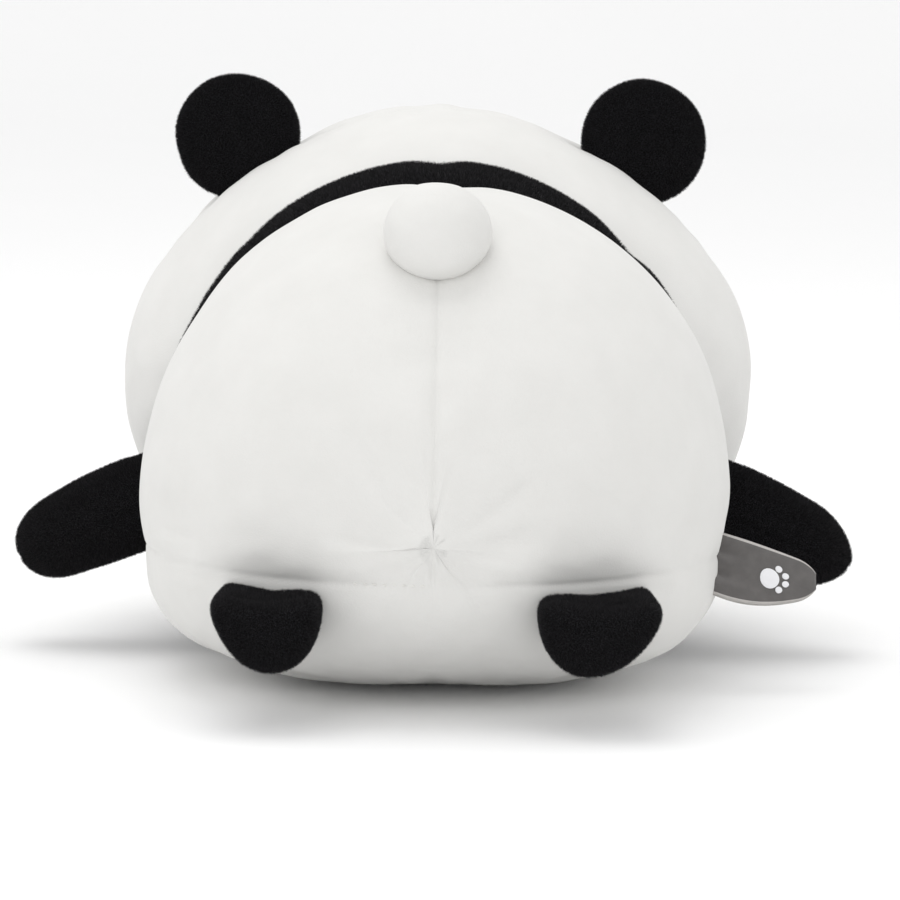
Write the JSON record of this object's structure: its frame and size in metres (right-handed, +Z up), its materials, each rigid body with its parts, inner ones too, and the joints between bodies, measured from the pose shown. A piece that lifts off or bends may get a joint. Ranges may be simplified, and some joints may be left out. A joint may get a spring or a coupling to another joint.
{
  "type": "plush panda",
  "caption": "Plush panda lying on its belly: round white rump, black shoulder band, wide head with round ears, stub limbs, ball tail and a side label.",
  "frame": {"origin": "middle of the outer box, on the floor that the toy lies on", "axes": "+Z up, +Y from the tail to the face, +X to the toy's right side as seen from behind"},
  "size_m": [0.3574, 0.396, 0.2425],
  "materials": {
    "white_plush": "short smooth plush, warm white",
    "black_plush": "short dense pile, black",
    "fibre_filling": "loose polyester fibre",
    "eye_bead": "glossy black",
    "nose_plush": "black satin stitch",
    "mouth_thread": "black embroidery thread",
    "label_ribbon": "grey woven ribbon",
    "label_ink": "white print"
  },
  "bodies": {
    "torso": {"rump_left_panel": "white_plush", "rump_right_panel": "white_plush", "belly_panel": "white_plush", "shoulder_band": "black_plush", "chest_panel": "black_plush", "torso_filling": "fibre_filling"},
    "head": {"face_panel": "white_plush", "head_back_panel": "white_plush", "head_filling": "fibre_filling", "left_eye_patch": "black_plush", "left_eye": "eye_bead", "right_eye_patch": "black_plush", "right_eye": "eye_bead", "nose": "nose_plush", "mouth_stitch": "mouth_thread"},
    "tail": {"tail_cover": "white_plush", "tail_filling": "fibre_filling"},
    "label": {"label_front": "label_ribbon", "label_back": "label_ribbon", "label_print": "label_ink"},
    "left_arm": {"left_arm_upper_panel": "black_plush", "left_arm_lower_panel": "black_plush", "left_arm_filling": "fibre_filling"},
    "left_foot": {"left_foot_upper": "black_plush", "left_foot_sole": "black_plush", "left_foot_filling": "fibre_filling"},
    "left_ear": {"left_ear_front_panel": "black_plush", "left_ear_back_panel": "black_plush", "left_ear_filling": "fibre_filling"},
    "right_arm": {"right_arm_upper_panel": "black_plush", "right_arm_lower_panel": "black_plush", "right_arm_filling": "fibre_filling"},
    "right_foot": {"right_foot_upper": "black_plush", "right_foot_sole": "black_plush", "right_foot_filling": "fibre_filling"},
    "right_ear": {"right_ear_front_panel": "black_plush", "right_ear_back_panel": "black_plush", "right_ear_filling": "fibre_filling"}
  },
  "joints": [
    {"name": "head_nod", "type": "hinge", "parent": "torso", "child": "head", "pos_m": [0, 0.07553, 0.1115], "axis": [1, 0, 0], "range_deg": [-6, 8], "stiffness_Nm_per_rad": 4},
    {"name": "tail_wag", "type": "hinge", "parent": "torso", "child": "tail", "pos_m": [0, -0.12602, 0.18055], "axis": [1, 0, 0], "range_deg": [-12, 12], "stiffness_Nm_per_rad": 0.05},
    {"name": "right_arm_lift", "type": "hinge", "parent": "torso", "child": "right_arm", "pos_m": [0.11234, -0.0025, 0.067], "axis": [0, -1, 0], "range_deg": [-15, 30], "stiffness_Nm_per_rad": 0.1},
    {"name": "left_arm_lift", "type": "hinge", "parent": "torso", "child": "left_arm", "pos_m": [-0.11234, -0.0025, 0.067], "axis": [0, 1, 0], "range_deg": [-15, 30], "stiffness_Nm_per_rad": 0.1},
    {"name": "right_foot_tilt", "type": "hinge", "parent": "torso", "child": "right_foot", "pos_m": [0.062, -0.15796, 0.046], "axis": [1, 0, 0], "range_deg": [-10, 10], "stiffness_Nm_per_rad": 0.06},
    {"name": "left_foot_tilt", "type": "hinge", "parent": "torso", "child": "left_foot", "pos_m": [-0.062, -0.15796, 0.046], "axis": [1, 0, 0], "range_deg": [-10, 10], "stiffness_Nm_per_rad": 0.06},
    {"name": "right_ear_fold", "type": "hinge", "parent": "head", "child": "right_ear", "pos_m": [0.08083, 0.07553, 0.20285], "axis": [0.8105, 0, -0.5857], "range_deg": [-22, 22], "stiffness_Nm_per_rad": 0.03},
    {"name": "left_ear_fold", "type": "hinge", "parent": "head", "child": "left_ear", "pos_m": [-0.08083, 0.07553, 0.20285], "axis": [0.8105, 0, 0.5857], "range_deg": [-22, 22], "stiffness_Nm_per_rad": 0.03},
    {"name": "label_flap", "type": "hinge", "parent": "torso", "child": "label", "pos_m": [0.11155, -0.09439, 0.048], "axis": [0, 0.5206, 0.8538], "range_deg": [-40, 12], "stiffness_Nm_per_rad": 0.002}
  ]
}
